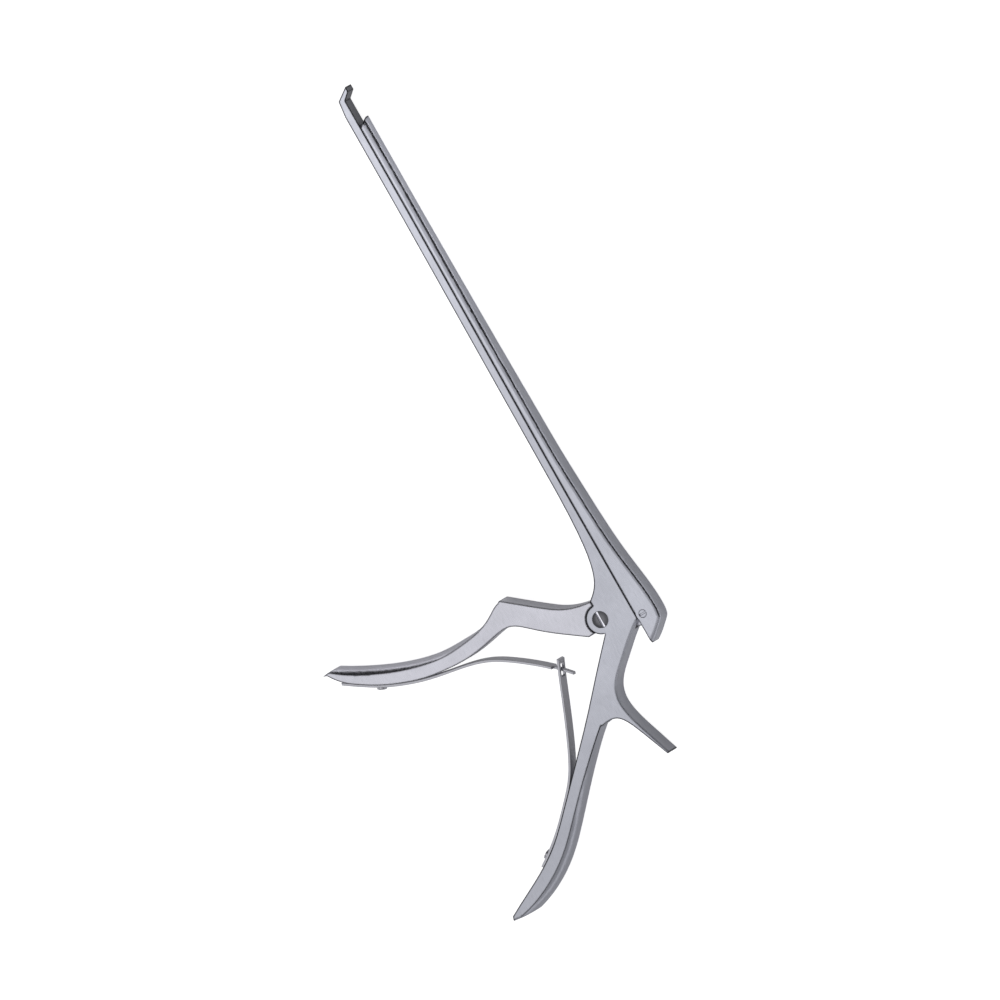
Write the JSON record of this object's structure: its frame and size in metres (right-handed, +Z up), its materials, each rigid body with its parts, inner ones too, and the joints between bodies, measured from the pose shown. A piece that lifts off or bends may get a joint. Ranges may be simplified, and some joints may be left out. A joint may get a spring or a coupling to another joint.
{
  "type": "bone rongeur",
  "caption": "Laminectomy punch: a slide runs along a fixed shaft to an angled footplate, driven by a pivoting front handle that two interlocked leaf springs open again.",
  "frame": {"origin": "on the axis of the handle pivot, at the flat side that the instrument rests on", "axes": "+X from the tip back along the shaft, +Y from the handles towards the slide's top, +Z up from the side that it rests on"},
  "size_m": [0.2733, 0.1192, 0.0083],
  "materials": {
    "forged_steel": "satin",
    "handle_steel": "satin",
    "slide_steel": "satin",
    "screw_steel": "turned",
    "spring_steel": "satin"
  },
  "bodies": {
    "fixed": {"frame": "forged_steel", "pivot_screw": "screw_steel", "rear_spring": "spring_steel", "rear_spring_screw": "screw_steel"},
    "lever": {"front_handle": "handle_steel", "front_spring": "spring_steel", "front_spring_screw": "screw_steel"},
    "slider": {"slide": "slide_steel", "drive_screw": "screw_steel"}
  },
  "joints": [
    {"name": "handle_pivot", "type": "hinge", "parent": "fixed", "child": "lever", "pos_m": [0, 0, 0.004], "axis": [0, 0, 1], "range_deg": [0, 39.6], "stiffness_Nm_per_rad": 1.5, "springref_deg": -8.59, "deforming": ["front_spring", "rear_spring"]},
    {"name": "slide_travel", "type": "slide", "parent": "fixed", "child": "slider", "axis": [-1, 0, 0], "range_m": [0, 0.0105]}
  ],
  "couplings": [
    {"joint": "slide_travel", "follows": "handle_pivot", "m_per_rad": 0.01516}
  ]
}
